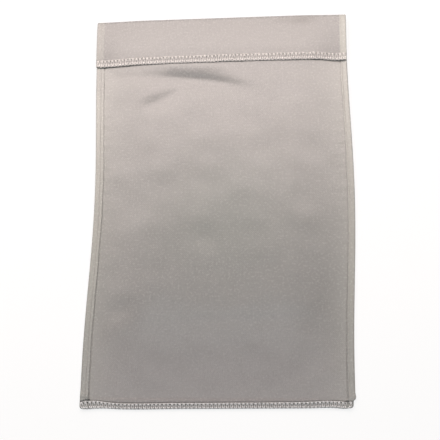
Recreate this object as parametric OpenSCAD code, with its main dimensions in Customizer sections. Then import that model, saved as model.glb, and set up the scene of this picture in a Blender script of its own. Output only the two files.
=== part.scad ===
// Envelope bag for storing and charging flat battery packs, sewn from coated glass cloth.
// It lies on its back panel with the flap closed over the mouth.
// Millimetres: X runs across the bag, Y from the bottom seam to the top fold, Z up.
// The origin is under the middle of the whole bag.

/* [Bag] */
// Width across the two side folds
bag_w = 200; // [150:5:300]
// Length from the bottom edge to the top fold
bag_l = 308; // [240:4:420]
// Thickness of one layer of cloth
cloth_t = 0.6; // [0.4:0.1:0.8]
// Width of the side margins, turned over and sewn down
hem_w = 5.5; // [4:0.5:10]
// Sideways bow of the sewn bag, largest near the middle of its length
side_bow = 3.5; // [0:0.5:8]
// Straight stretch of the sides above the bottom edge, before the bow starts
bow_start = 27; // [10:1:60]
// Straight stretch of the sides below the top fold, after the bow has ended
bow_end = 21; // [10:1:60]

/* [Pocket] */
// Clear height between the two cloths at the mouth
mouth_gap = 4.6; // [4.4:0.2:8]
// How much the front panel rises from the mouth to the middle of the bag
belly_rise = 1.4; // [0.6:0.2:8]
// Width of the slope that brings the front panel down to each side seam at the mouth
mouth_side_ramp = 14.5; // [10:0.5:30]
// How much wider that slope is across the middle of the bag
belly_ramp_gain = 18; // [0:1:24]
// Length of the slope that brings the front panel down to the bottom seam
bottom_ramp = 44; // [16:2:60]
// Length over which the front panel rises from the flap to its full height
belly_ramp = 62; // [30:2:90]
// Level stretch of the front panel below the free edge of the flap
belly_setback = 7; // [2:1:20]

/* [Flap and tapes] */
// Distance from the top fold down to the edge of the mouth
mouth_setback = 3; // [2:0.5:8]
// Width of the hook and loop tapes
tape_w = 20; // [16:1:40]
// Cloth left bare above and below each tape
tape_margin = 2; // [1:0.5:6]
// Distance from the end of each tape to the slope at the side
tape_end = 2; // [1:1:20]
// Thickness of the woven ground of each tape
tape_ground_t = 0.4; // [0.3:0.1:0.8]
// Height of the hooks and of the loops above their ground
tape_pile_t = 0.6; // [0.4:0.1:1.2]
// Bare edge of each tape, beside its hooks or loops
selvedge_w = 1.2; // [1:0.1:2]
// Air between the hooks and the loops when the flap is down
tape_air = 0.2; // [0.2:0.1:0.6]

/* [Seams] */
// Width of the three-thread overlock seams
overlock_w = 6; // [4.5:0.5:8]
// Length of one stitch
stitch_l = 2.9; // [2.2:0.1:4]
// Gap between two stitches of a straight row, where the thread dives into the cloth
stitch_gap = 0.7; // [0.4:0.1:1]
// Distance from the cut edge of a hem to its row of stitches
hem_stitch_in = 1.5; // [1:0.1:2.5]
// Width of the sewing thread, pressed flat
thread_w = 0.5; // [0.3:0.05:0.6]
// Thickness of the sewing thread, pressed flat
thread_t = 0.2; // [0.15:0.05:0.3]

/* [Hidden] */

cloth_color = [0.71, 0.68, 0.65];
hem_color = [0.76, 0.73, 0.69];
thread_color = [0.88, 0.85, 0.80];
tape_color = [0.20, 0.20, 0.21];
loop_color = [0.27, 0.27, 0.28];

left = -1;
right = 1;

// Clearances
seam_clear = 0.1;       // between the edge of the front panel and the fold of a side hem
crease_clear = 0.05;    // between two lengths of cloth that meet at a crease
hem_clear = 0.4;        // between the turned margins of two lengths that fold on each other
thread_clear = 0.3;     // between two rows of thread in one seam
groove_clear = 0.05;    // between a sunk thread and the surface that the bag lies on

// Places along the bag
half_w = bag_w / 2;
tape_t = tape_ground_t + tape_pile_t;
flap_l = mouth_setback + tape_w + 2 * tape_margin + 2 * overlock_w;
flap_edge_y = bag_l - flap_l;
mouth_y = bag_l - mouth_setback;
tape_y = mouth_y - overlock_w - tape_margin - tape_w;
fold_y = bag_l - cloth_t;
bow_low_y = bow_start;
bow_high_y = bag_l - bow_end;
bow_steps = 20;
ramp_half_w = half_w - hem_w - mouth_side_ramp;
tape_half_l = ramp_half_w - tape_end;
bottom_ramp_y = overlock_w + bottom_ramp;
belly_y = flap_edge_y - belly_setback;

// Heights
front_z = cloth_t + mouth_gap;
front_top = front_z + cloth_t;
loop_z = front_top + tape_t + tape_air;
flap_z = loop_z + tape_t;
flap_top = flap_z + cloth_t;
groove_t = thread_t + groove_clear;
groove_w = thread_w + thread_clear;

// Grid of the front panel
ramp_steps = 6;
belly_steps = 14;
flap_steps = 3;

// The middle of the whole bag in plan, its threads at the bottom edge included
centre_x = side_bow / 2;
centre_y = (bag_l - thread_t) / 2;

function ease(u) = let (c = max(0, min(1, u))) c * c * (3 - 2 * c);
function rev(list) = [for (i = [len(list) - 1 : -1 : 0]) list[i]];

// Sideways shift of the bag at the height y along it
function bow(y) =
    let (u = (2 * y - bow_low_y - bow_high_y) / (bow_high_y - bow_low_y))
    abs(u) < 1 ? side_bow * pow(cos(90 * u), 2) : 0;

// X of a line that runs inset millimetres inside the left or right edge
function side_x(side, inset, y) = side * (half_w - inset) + bow(y);

// Heights along the bag at which an outline from y0 to y1 has a point
function stations(y0, y1) = concat(
    [y0],
    [for (k = [0 : bow_steps])
        let (y = bow_low_y + k * (bow_high_y - bow_low_y) / bow_steps)
        if (y > y0 + 1 && y < y1 - 1) y],
    [y1]);

function side_line(side, inset, y0, y1) =
    [for (y = stations(y0, y1)) [side_x(side, inset, y), y]];

// How far the front panel has gone from its shape at the mouth, 0, to its full height, 1
function belly(y) = ease((belly_y - y) / belly_ramp);

function side_ramp(y) = mouth_side_ramp + belly_ramp_gain * belly(y);

// Height of the underside of the front panel above the surface that the bag lies on
function pocket_z(x, y) =
    let (
        inset = half_w - abs(x - bow(y)),
        gap = mouth_gap + belly_rise * belly(y)
    )
    cloth_t + gap * ease((inset - hem_w) / side_ramp(y)) * ease((y - overlock_w) / bottom_ramp);

// Puts the origin under the middle of the bag
module placed() {
    translate([-centre_x, -centre_y, 0])
        children();
}

// A strip that follows one side of the bag, between two insets from its edge
module side_band(side, inset0, inset1, y0, y1, z, t) {
    translate([0, 0, z])
        linear_extrude(t)
            polygon(concat(side_line(side, inset0, y0, y1), rev(side_line(side, inset1, y0, y1))));
}

// Straight row of stitches along X, from x0 to x1
module row_along_x(x0, x1, y, z) {
    count = floor((x1 - x0) / stitch_l);
    start = (x0 + x1 - count * stitch_l + stitch_gap) / 2;
    for (i = [0 : count - 1])
        translate([start + i * stitch_l, y - thread_w / 2, z])
            cube([stitch_l - stitch_gap, thread_w, thread_t]);
}

// Straight row of stitches along Y that follows one side of the bag
module row_along_side(side, inset, y0, y1, z) {
    count = floor((y1 - y0) / stitch_l);
    start = (y0 + y1 - count * stitch_l + stitch_gap) / 2;
    for (i = [0 : count - 1])
        let (y = start + i * stitch_l)
        translate([side_x(side, inset, y + stitch_l / 2) - thread_w / 2, y, z])
            cube([thread_w, stitch_l - stitch_gap, thread_t]);
}

// Straight row of stitches along Y, square to the top fold
module row_along_y(x, y0, y1, z) {
    count = floor((y1 - y0) / stitch_l);
    start = (y0 + y1 - count * stitch_l + stitch_gap) / 2;
    for (i = [0 : count - 1])
        translate([x - thread_w / 2, start + i * stitch_l, z])
            cube([thread_w, stitch_l - stitch_gap, thread_t]);
}

// One looper thread of an overlock seam, lying on a face of the cloth as a zigzag
// between the needle row and the edge. inward is 1 or -1: the side on which the cloth lies.
module looper_zigzag(x0, x1, edge_y, inward, z) {
    count = floor((x1 - x0) / stitch_l);
    start = (x0 + x1 - count * stitch_l) / 2;
    reach = overlock_w - thread_w - thread_clear;
    lean = atan(stitch_l / 2 / reach);
    half_band = thread_w / 2 / sin(lean);
    near = half_band - thread_t / 2;
    far = reach - half_band;
    spine = [for (k = [0 : 2 * count])
        [start + k * stitch_l / 2, edge_y + inward * (k % 2 == 0 ? far : near)]];
    translate([0, 0, z])
        linear_extrude(thread_t)
            polygon(concat(
                [for (p = spine) p + [0, half_band]],
                rev([for (p = spine) p - [0, half_band]])));
}

// Where the looper threads pass round the edge of the cloth, from height z0 to z1
module looper_wraps(x0, x1, edge_y, inward, z0, z1) {
    count = floor((x1 - x0) / stitch_l);
    start = (x0 + x1 - count * stitch_l) / 2;
    outer = edge_y - (inward > 0 ? thread_t : 0);
    for (i = [0 : count - 1])
        translate([start + (i + 0.5) * stitch_l - thread_w / 2, outer, z0])
            cube([thread_w, thread_t, z1 - z0]);
}

module tape_strip(z_ground, z_pile) {
    translate([-tape_half_l, tape_y, z_ground])
        cube([2 * tape_half_l, tape_w, tape_ground_t]);
    translate([-tape_half_l + selvedge_w, tape_y + selvedge_w, z_pile])
        cube([2 * (tape_half_l - selvedge_w), tape_w - 2 * selvedge_w, tape_pile_t]);
}

// Stitches all round a tape, in its bare edge
module tape_stitches(z) {
    inset = selvedge_w / 2;
    for (y = [tape_y + inset, tape_y + tape_w - inset])
        row_along_x(-tape_half_l + selvedge_w, tape_half_l - selvedge_w, y, z);
    for (x = [-tape_half_l + inset, tape_half_l - inset])
        row_along_y(x, tape_y + selvedge_w, tape_y + tape_w - selvedge_w, z);
}

// ---- The bag ----

// Sunk lines in the outside of the back panel, where its seam threads lie
module back_panel_grooves() {
    inset = hem_w - hem_stitch_in;
    for (side = [left, right])
        side_band(side, inset - groove_w / 2, inset + groove_w / 2, overlock_w, fold_y,
            -groove_clear, groove_t + groove_clear);
    translate([-half_w + thread_clear, -thread_t, -groove_clear])
        cube([bag_w - 2 * thread_clear, overlock_w + thread_t, groove_t + groove_clear]);
}

module back_panel() {
    color(cloth_color)
        placed()
            difference() {
                linear_extrude(cloth_t)
                    polygon(concat(side_line(left, 0, 0, fold_y), rev(side_line(right, 0, 0, fold_y))));
                back_panel_grooves();
            }
}

// Insets of the grid lines of the front panel from the edge of the bag, then its rows
function panel_insets(y) = concat(
    [cloth_t + seam_clear],
    [for (k = [0 : ramp_steps]) hem_w + side_ramp(y) * k / ramp_steps]);
panel_rows = concat(
    [0],
    [for (k = [0 : ramp_steps]) overlock_w + bottom_ramp * k / ramp_steps],
    [for (k = [1 : belly_steps]) bottom_ramp_y + (belly_y - bottom_ramp_y) * k / belly_steps],
    [for (k = [1 : flap_steps]) belly_y + (mouth_y - belly_y) * k / flap_steps]);

function panel_row_xs(y) = concat(
    [for (d = panel_insets(y)) side_x(left, d, y)],
    [bow(y)],
    rev([for (d = panel_insets(y)) side_x(right, d, y)]));

module front_panel() {
    cols = len(panel_row_xs(0));
    rows = len(panel_rows);
    grid = [for (y = panel_rows) for (x = panel_row_xs(y)) [x, y, pocket_z(x, y)]];
    above = cols * rows;
    points = concat(grid, [for (p = grid) p + [0, 0, cloth_t]]);
    cells = [for (r = [0 : rows - 2]) for (c = [0 : cols - 2]) r * cols + c];
    under = [for (i = cells) each [[i, i + 1, i + cols + 1], [i, i + cols + 1, i + cols]]];
    over = [for (f = under) rev(f) + [above, above, above]];
    // The rim, walked once round the grid
    rim = concat(
        [for (c = [0 : cols - 2]) c],
        [for (r = [0 : rows - 2]) (r + 1) * cols - 1],
        [for (c = [cols - 1 : -1 : 1]) (rows - 1) * cols + c],
        [for (r = [rows - 1 : -1 : 1]) r * cols]);
    count = len(rim);
    edge = [for (i = [0 : count - 1])
        let (a = rim[i], b = rim[(i + 1) % count])
        each [[a, a + above, b + above], [a, b + above, b]]];
    color(cloth_color)
        placed()
            polyhedron(points, concat(under, over, edge));
}

// The margin of the back panel, folded round the edge of the front panel and over it
module side_hem(side) {
    color(hem_color)
        placed()
            union() {
                side_band(side, 0, cloth_t, 0, mouth_y, cloth_t, 2 * cloth_t);
                side_band(side, 0, hem_w, 0, mouth_y, 2 * cloth_t, cloth_t);
            }
}

module left_side_hem() {
    side_hem(left);
}

module right_side_hem() {
    side_hem(right);
}

module hem_needle_thread(side) {
    color(thread_color)
        placed()
            row_along_side(side, hem_w - hem_stitch_in, overlock_w, mouth_y, 3 * cloth_t);
}

module left_hem_needle_thread() {
    hem_needle_thread(left);
}

module right_hem_needle_thread() {
    hem_needle_thread(right);
}

module hem_bobbin_thread(side) {
    color(thread_color)
        placed()
            row_along_side(side, hem_w - hem_stitch_in, overlock_w, mouth_y, groove_clear);
}

module left_hem_bobbin_thread() {
    hem_bobbin_thread(left);
}

module right_hem_bobbin_thread() {
    hem_bobbin_thread(right);
}

// ---- Bottom seam: two layers of cloth, three where the side hems run in ----

seam_in = hem_w + thread_clear;

module bottom_overlock_needle_thread() {
    y = overlock_w - thread_w / 2;
    color(thread_color)
        placed() {
            row_along_x(-half_w + seam_in, half_w - seam_in, y, 2 * cloth_t);
            row_along_x(-half_w + thread_clear, -half_w + hem_w, y, 3 * cloth_t);
            row_along_x(half_w - hem_w, half_w - thread_clear, y, 3 * cloth_t);
        }
}

module bottom_overlock_upper_looper() {
    wrap_top = thread_t / 2;
    color(thread_color)
        placed() {
            looper_zigzag(-half_w + seam_in, half_w - seam_in, 0, 1, 2 * cloth_t);
            looper_wraps(-half_w + seam_in, half_w - seam_in, 0, 1, groove_clear,
                2 * cloth_t + wrap_top);
            for (x = [-half_w, half_w - hem_w]) {
                looper_zigzag(x, x + hem_w, 0, 1, 3 * cloth_t);
                looper_wraps(x, x + hem_w, 0, 1, groove_clear, 3 * cloth_t + wrap_top);
            }
        }
}

module bottom_overlock_lower_looper() {
    color(thread_color)
        placed()
            looper_zigzag(-half_w + seam_in, half_w - seam_in, thread_t, 1, groove_clear);
}

// ---- Mouth edge: one layer of cloth, level between the side slopes ----

module mouth_overlock_needle_thread() {
    color(thread_color)
        placed()
            row_along_x(-ramp_half_w, ramp_half_w, mouth_y - overlock_w + thread_w / 2, front_top);
}

module mouth_overlock_upper_looper() {
    color(thread_color)
        placed() {
            looper_zigzag(-ramp_half_w, ramp_half_w, mouth_y, -1, front_top);
            looper_wraps(-ramp_half_w, ramp_half_w, mouth_y, -1, front_z - thread_t / 2,
                front_top + thread_t / 2);
        }
}

module mouth_overlock_lower_looper() {
    color(thread_color)
        placed()
            looper_zigzag(-ramp_half_w, ramp_half_w, mouth_y - thread_t, -1, front_z - thread_t);
}

module hook_tape() {
    color(tape_color)
        placed()
            tape_strip(front_top, front_top + tape_ground_t);
}

module hook_tape_needle_thread() {
    color(thread_color)
        placed()
            tape_stitches(front_top + tape_ground_t);
}

module hook_tape_bobbin_thread() {
    color(thread_color)
        placed()
            tape_stitches(front_z - thread_t);
}

// ---- The top fold: a short length of the back cloth that stands behind the mouth ----
// It hinges at its lower inner crease on the back panel, and carries the flap at its upper one.

module top_fold_strip() {
    hem_z = 2 * cloth_t + hem_clear;
    color(cloth_color)
        placed()
            union() {
                translate([-half_w, fold_y, cloth_t + crease_clear])
                    cube([bag_w, cloth_t, flap_z - cloth_t - 2 * crease_clear]);
                for (x = [-half_w, half_w - hem_w])
                    translate([x, fold_y - cloth_t, hem_z])
                        cube([hem_w, cloth_t, flap_z - cloth_t - hem_clear - hem_z]);
            }
}

// ---- The closing flap ----

module closing_flap() {
    color(cloth_color)
        placed()
            translate([-half_w, flap_edge_y, flap_z])
                cube([bag_w, fold_y - crease_clear - flap_edge_y, cloth_t]);
}

// Margin of the flap, turned to its inside
module flap_hem(x) {
    color(hem_color)
        placed()
            translate([x, flap_edge_y, flap_z - cloth_t])
                cube([hem_w, fold_y - hem_clear - cloth_t - flap_edge_y, cloth_t]);
}

module flap_left_hem() {
    flap_hem(-half_w);
}

module flap_right_hem() {
    flap_hem(half_w - hem_w);
}

// Stitches of a flap hem: one row outside on the flap, one inside on the margin
module flap_hem_thread(x) {
    y0 = flap_edge_y + overlock_w;
    y1 = fold_y - cloth_t - hem_clear;
    color(thread_color)
        placed() {
            row_along_y(x, y0, y1, flap_top);
            row_along_y(x, y0, y1, flap_z - cloth_t - thread_t);
        }
}

module flap_left_hem_thread() {
    flap_hem_thread(-half_w + hem_w - hem_stitch_in);
}

module flap_right_hem_thread() {
    flap_hem_thread(half_w - hem_w + hem_stitch_in);
}

module flap_overlock_needle_thread() {
    color(thread_color)
        placed()
            row_along_x(-half_w, half_w, flap_edge_y + overlock_w - thread_w / 2, flap_top);
}

module flap_overlock_upper_looper() {
    color(thread_color)
        placed() {
            looper_zigzag(-half_w, half_w, flap_edge_y, 1, flap_top);
            looper_wraps(-half_w, half_w, flap_edge_y, 1, flap_z - thread_t / 2,
                flap_top + thread_t / 2);
        }
}

module flap_overlock_lower_looper() {
    color(thread_color)
        placed() {
            looper_zigzag(-half_w + seam_in, half_w - seam_in, flap_edge_y + thread_t, 1,
                flap_z - thread_t);
            for (x = [-half_w, half_w - hem_w])
                looper_zigzag(x, x + hem_w, flap_edge_y, 1, flap_z - cloth_t - thread_t);
        }
}

module loop_tape() {
    color(loop_color)
        placed()
            tape_strip(loop_z + tape_pile_t, loop_z);
}

back_panel();
front_panel();
left_side_hem();
right_side_hem();
left_hem_needle_thread();
right_hem_needle_thread();
left_hem_bobbin_thread();
right_hem_bobbin_thread();
bottom_overlock_needle_thread();
bottom_overlock_upper_looper();
bottom_overlock_lower_looper();
mouth_overlock_needle_thread();
mouth_overlock_upper_looper();
mouth_overlock_lower_looper();
hook_tape();
hook_tape_needle_thread();
hook_tape_bobbin_thread();
top_fold_strip();
closing_flap();
flap_left_hem();
flap_right_hem();
flap_left_hem_thread();
flap_right_hem_thread();
flap_overlock_needle_thread();
flap_overlock_upper_looper();
flap_overlock_lower_looper();
loop_tape();
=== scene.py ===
"""Envelope bag of coated glass cloth for flat battery packs, lying flap up on a pale floor.

Shapes are made in millimetres in the bag's own frame (x from its middle line, y from the
bottom edge up to the top fold, z up from the floor) and turned into metres of the row frame
when their mesh is built.
"""
import math

import bpy
import numpy as np
from mathutils import Matrix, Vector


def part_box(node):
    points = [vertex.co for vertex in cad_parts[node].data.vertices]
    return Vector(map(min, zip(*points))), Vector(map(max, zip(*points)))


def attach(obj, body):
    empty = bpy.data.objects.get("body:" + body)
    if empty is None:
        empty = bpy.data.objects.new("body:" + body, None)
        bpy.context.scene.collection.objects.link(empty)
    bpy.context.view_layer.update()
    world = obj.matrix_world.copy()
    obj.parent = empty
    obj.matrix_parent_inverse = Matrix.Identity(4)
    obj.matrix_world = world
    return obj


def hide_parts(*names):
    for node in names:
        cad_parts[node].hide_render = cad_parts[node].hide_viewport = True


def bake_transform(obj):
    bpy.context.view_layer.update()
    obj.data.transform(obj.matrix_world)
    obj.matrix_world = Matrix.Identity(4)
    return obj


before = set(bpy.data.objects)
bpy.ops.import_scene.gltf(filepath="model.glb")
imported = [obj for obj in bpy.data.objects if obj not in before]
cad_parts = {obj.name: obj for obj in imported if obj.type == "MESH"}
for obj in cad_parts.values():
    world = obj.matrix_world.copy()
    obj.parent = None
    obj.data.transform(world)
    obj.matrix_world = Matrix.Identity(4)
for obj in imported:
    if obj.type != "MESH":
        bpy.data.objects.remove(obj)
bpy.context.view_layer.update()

MM = 0.001


def box_mm(node):
    """Lowest and highest corner of a CAD node, in millimetres of the row frame."""
    low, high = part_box(node)
    return np.array(low) / MM, np.array(high) / MM


# ---------------------------------------------------------------- places from the CAD model

BACK_LOW, BACK_HIGH = box_mm("back_panel")
FLAP_LOW, FLAP_HIGH = box_mm("closing_flap")
HOOK_LOW, HOOK_HIGH = box_mm("hook_tape")
LOOP_LOW, LOOP_HIGH = box_mm("loop_tape")
FRONT_TOP_Z = box_mm("front_panel")[1][2]
HEM_END = box_mm("left_side_hem")[1][1]
FOLD_END = box_mm("top_fold_strip")[1][1]

MID_X = (FLAP_LOW[0] + FLAP_HIGH[0]) / 2
BOTTOM_Y = BACK_LOW[1]
HALF_W = (FLAP_HIGH[0] - FLAP_LOW[0]) / 2
LENGTH = FOLD_END - BOTTOM_Y
CLOTH_T = BACK_HIGH[2] - BACK_LOW[2]
SIDE_BOW = BACK_HIGH[0] - FLAP_HIGH[0]
MOUTH_Y = HEM_END - BOTTOM_Y
TAPE_FOOT_Y = HOOK_LOW[1] - BOTTOM_Y
FLAP_EDGE_Y = FLAP_LOW[1] - BOTTOM_Y
FLAP_Z = FLAP_LOW[2]
HOOK_Z = HOOK_LOW[2]

# ---------------------------------------------------------------- sizes in millimetres

HEM_W = 5.5  # side hems
HEM_STITCH_INSET = 4
BOW_START = 27  # the sides bow out from here above the bottom edge ...
BOW_END = 21  # ... to here below the top fold
CORNER_R = 2.0
EDGE_INSET = 0.6  # threads keep this far inside the sides of the cloth

BELLY_RISE = 1.4  # rise of the front panel just below the tapes
BELLY_RAMP = 5.5  # length along the bag of that rise
MOUTH_SIDE_RAMP = 34  # width over which front and flap come down to their hems at the tapes
SIDE_RAMP_GAIN = 12  # how much wider that is for the front further down the bag ...
SIDE_RAMP_LENGTH = 120  # ... reached this far below the tapes
BOTTOM_RAMP = 78  # length over which the front comes down to the bottom seam
SIDE_LIFT = 1.9  # lift of the side seams off the floor beside the tapes
SIDE_LIFT_W = 32  # width over which the lift of the back cloth fades out
SIDE_LIFT_L = 170  # length below the tapes over which it fades out
MOUTH_GAP = FRONT_TOP_Z - 2 * CLOTH_T - BELLY_RISE  # room between the cloths at the tapes

FOLD_R = 2.0  # bends of the cloth along the top fold
FOLD_SINK = 1.2  # how far the sides of the flap hang at the top fold
FLAP_SINK = 3.0  # and at its free edge

OVERLOCK_W = 5.3  # nominal width of an overlock seam
FLAP_SEAM_W = 4.9  # its width on the flap
SEAM_LIFT = 0.3  # lift of the cloth over the lower threads of the bottom seam
STITCH_L = 2.9
THREAD_R = 0.46  # looper threads
ROW_THREAD_R = 0.2  # needle and bobbin threads
NO_SLIP = 9999.0  # off the end of any seam

BOBBIN_Z = 0.14  # middle of the bobbin threads under the side hems

TAPE_GROUND_T = 0.4
SELVEDGE = 1.2  # bare edge of a tape
HOOK_PITCH = 2.0
HOOK_ROW_PITCH = 1.25
HOOK_R = 0.11
LOOP_PITCH = 1.15
LOOP_ROW_PITCH = 1.0
LOOP_R = 0.07


def ease(u):
    """Smooth step from 0 to 1 while u goes from 0 to 1."""
    c = np.clip(u, 0, 1)
    return c * c * (3 - 2 * c)


def bow(y):
    """Sideways shift of the sewn bag at the height y along it."""
    low, high = BOW_START, LENGTH - BOW_END
    u = (2 * np.asarray(y, float) - low - high) / (high - low)
    return np.where(np.abs(u) < 1, SIDE_BOW * np.cos(np.pi / 2 * np.clip(u, -1, 1)) ** 2, 0)


def corner_inset(side, y):
    """How far the side is pulled in at its rounded bottom corner. The seam has drawn the right
    corner in, and the end of the right hem stands out above it."""
    d = np.clip(CORNER_R - np.asarray(y, float), 0, CORNER_R)
    rounding = CORNER_R - np.sqrt(CORNER_R**2 - d**2)
    drawn_in = 1.4 * ease((6.2 - y) / 1.4) - 0.5 * np.exp(-(((y - 7.8) / 1.5) ** 2))
    return rounding + np.where(side > 0, drawn_in, 0)


def ripple(x, y, wave, seed, count=7):
    """Smooth seeded unevenness of about one unit, with waves about wave millimetres long."""
    draw = np.random.default_rng(seed)
    total = 0
    for _ in range(count):
        angle, phase = draw.uniform(0, math.tau, 2)
        turn = math.tau / wave * draw.uniform(0.65, 1.45)
        total = total + np.sin(turn * (x * math.cos(angle) + y * math.sin(angle)) + phase)
    return total * math.sqrt(2 / count) * 0.5


def row_points(points):
    """Points in the bag's millimetres, as metres of the row frame."""
    return (np.asarray(points, float) + (MID_X, BOTTOM_Y, 0)) * MM


# ---------------------------------------------------------------- seams and front panel


def hem_edge(x):
    """Inset of the inner edge of the side hem at x: the left margin was turned in wider."""
    return HEM_W + np.where(x < 0, 0.6, -0.5)


def seam_lift(y):
    """How far the side seams are lifted off the floor: most beside the tapes, where the bag
    is thickest, and nothing at the top fold."""
    fade = 1 - ease((y - TAPE_FOOT_Y) / (MOUTH_Y - TAPE_FOOT_Y))
    return SIDE_LIFT * ease((y - TAPE_FOOT_Y + SIDE_LIFT_L) / SIDE_LIFT_L) * fade


def back_lift(x, y):
    """How far the back cloth is lifted with the side seams."""
    inset = HALF_W - np.abs(x - bow(y))
    return seam_lift(y) * ease((SIDE_LIFT_W - inset) / SIDE_LIFT_W)


def bottom_edge(x):
    """How far the wavy bottom edge of the cloths lies above the bag's lowest line."""
    rise = 0.6 + 0.0105 * x
    rise = rise + 0.65 * np.exp(-(((x + 84) / 11) ** 2)) - 0.2 * np.exp(-(((x + 55) / 18) ** 2))
    return rise + 0.3 * np.exp(-(((x - 80) / 9) ** 2)) - 0.4 * np.exp(-(((x - 94) / 4) ** 2))


def bottom_width(x):
    """Width of the bottom seam, wider near both ends."""
    left, right = np.exp(-(((x + 92) / 10) ** 2)), np.exp(-(((x - 85) / 25) ** 2))
    return 3.9 + 1.6 * left + 0.6 * right


def seam_way(x, y):
    """Way up from the bottom edge in parts of the seam's width, times its nominal width."""
    return (y - bottom_edge(x)) * OVERLOCK_W / bottom_width(x)


def with_bottom_edge(x, y):
    """The height y along the bag once the bottom edge has its waves."""
    return y + bottom_edge(x) * ease(1 - y / 40)


def belly(y):
    """How far the front panel has risen from its height under the tape, 0, to its full height."""
    return ease((TAPE_FOOT_Y - 1 - y) / BELLY_RAMP)


def crease(x, y, x0, y0, x1, y1, width, sag=0.0, lower=None, end=0.35):
    """A soft furrow of depth 1 from one end point to the other. sag bends its middle away
    from the straight line, lower is the width of its lower side, end the share of its length
    over which each end fades out."""
    length = math.hypot(x1 - x0, y1 - y0)
    ux, uy = (x1 - x0) / length, (y1 - y0) / length
    along = ((x - x0) * ux + (y - y0) * uy) / length
    across = -(x - x0) * uy + (y - y0) * ux - sag * 4 * along * (1 - along)
    fade = ease(along / end) * ease((1 - along) / end)
    wide = np.where(across > 0, width, lower or width)
    return fade * np.exp(-((across / wide) ** 2))


def hollow(x, y, cx, cy, rx, ry, turn=0.0):
    """A rounded dip of depth 1 at cx, cy."""
    c, s = math.cos(math.radians(turn)), math.sin(math.radians(turn))
    a = ((x - cx) * c + (y - cy) * s) / rx
    b = (-(x - cx) * s + (y - cy) * c) / ry
    return np.exp(-(a * a + b * b))


def handling_marks(x, y):
    """Height of the dents, creases and waves that handling has left in the front panel. Each
    is a height in millimetres times a furrow or a hollow at its place on the bag."""
    mark = -1.65 * crease(x, y, -70, 257, 36, 242.5, 4.2, 5.5, 10, end=0.5)
    mark += -0.42 * crease(x, y, -104, 259.5, -44, 258.5, 4.5)
    mark += 0.5 * crease(x, y, -60, 268, 22, 262, 4, 2)
    mark += -0.95 * crease(x, y, -66, 228.5, -25, 248, 5.2, 0.4, 8)
    mark += 0.18 * crease(x, y, 56, 268, 59, 138, 2.2)
    mark += -0.35 * crease(x, y, -30, 150, 44, 62, 18)
    mark += -0.6 * hollow(x, y, -71, 72, 13, 8, 20)
    mark += 0.45 * hollow(x, y, -74, 55, 14, 9, 10)
    mark += -0.30 * crease(x, y, -50, 62, 80, 66, 4.5)
    mark += 0.30 * crease(x, y, 40, 2, 104, 40, 6)
    mark += 0.18 * ripple(x, y, 62, 11) + 0.09 * ripple(x, y, 27, 12)
    return mark


def front_under(x, y):
    """Height of the underside of the front panel: level below the tapes, coming down to the
    seams all round, with the handling marks, the hems' puckers and the grooves at the seams."""
    inset = HALF_W - np.abs(x - bow(y))
    from_hem = inset - hem_edge(x - bow(y))
    full = belly(y)
    gap = MOUTH_GAP + BELLY_RISE * full
    ramp = MOUTH_SIDE_RAMP + SIDE_RAMP_GAIN * ease((TAPE_FOOT_Y - y) / SIDE_RAMP_LENGTH)
    side = ease(from_hem / ramp)
    foot = ease((y - OVERLOCK_W) / BOTTOM_RAMP)
    below_tape = ease((TAPE_FOOT_Y - 2 - y) / 8)
    free = ease((from_hem - 1) / 12) * ease((y - OVERLOCK_W - 1) / 14)
    pucker = 0.10 * np.exp(-np.clip(from_hem, 0, None) / 3.5) * ease(from_hem / 2)
    pucker = pucker * np.sin(math.tau * y / 8.7 + 1.5 * ripple(y, 0 * y, 31, 13))
    marks = handling_marks(x, y) * free * below_tape
    groove = -0.25 * np.exp(-(((from_hem - 0.4) / 0.4) ** 2))
    across = y - bottom_edge(x) - bottom_width(x)
    groove = groove - 0.4 * np.exp(-((across / 0.5) ** 2)) * ease(from_hem)
    rise = gap * side * foot + seam_lift(y) * (1 - side * foot)
    return CLOTH_T + rise + marks + pucker + groove + SEAM_LIFT * bottom_lift(y)


def bottom_lift(y):
    """Share of the lift that the lower threads of the bottom seam give to the cloth on them."""
    return ease((OVERLOCK_W + 3 - np.asarray(y, float)) / 3)


# ---------------------------------------------------------------- mesh tools


def make_mesh(name, points, faces, uv, tones=(), smooth_angle=50):
    """A mesh object. points are in the bag's millimetres, uv in millimetres of cloth, and
    tones are names and values of further numbers at its points."""
    mesh = bpy.data.meshes.new(name)
    mesh.from_pydata(row_points(points).tolist(), [], [list(f) for f in faces])
    mesh.update()
    corners = np.zeros(len(mesh.loops), np.int32)
    mesh.loops.foreach_get("vertex_index", corners)
    layer = mesh.uv_layers.new(name="UVMap")
    layer.data.foreach_set("uv", (np.asarray(uv)[corners] * MM).astype(np.float32).ravel())
    for label, values in tones:
        mesh.attributes.new(label, "FLOAT", "POINT")
        mesh.attributes[label].data.foreach_set("value", np.asarray(values, np.float32).ravel())
    mesh.polygons.foreach_set("use_smooth", [True] * len(mesh.polygons))
    mesh.set_sharp_from_angle(angle=math.radians(smooth_angle))
    thing = bpy.data.objects.new(name, mesh)
    bpy.context.scene.collection.objects.link(thing)
    return thing


def grid_normals(grid):
    """Unit normals of a grid of points, rows along y and columns along the width."""
    across = np.gradient(grid, axis=1)
    along = np.gradient(grid, axis=0)
    normal = np.cross(across, along)
    return normal / np.linalg.norm(normal, axis=2, keepdims=True)


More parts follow.
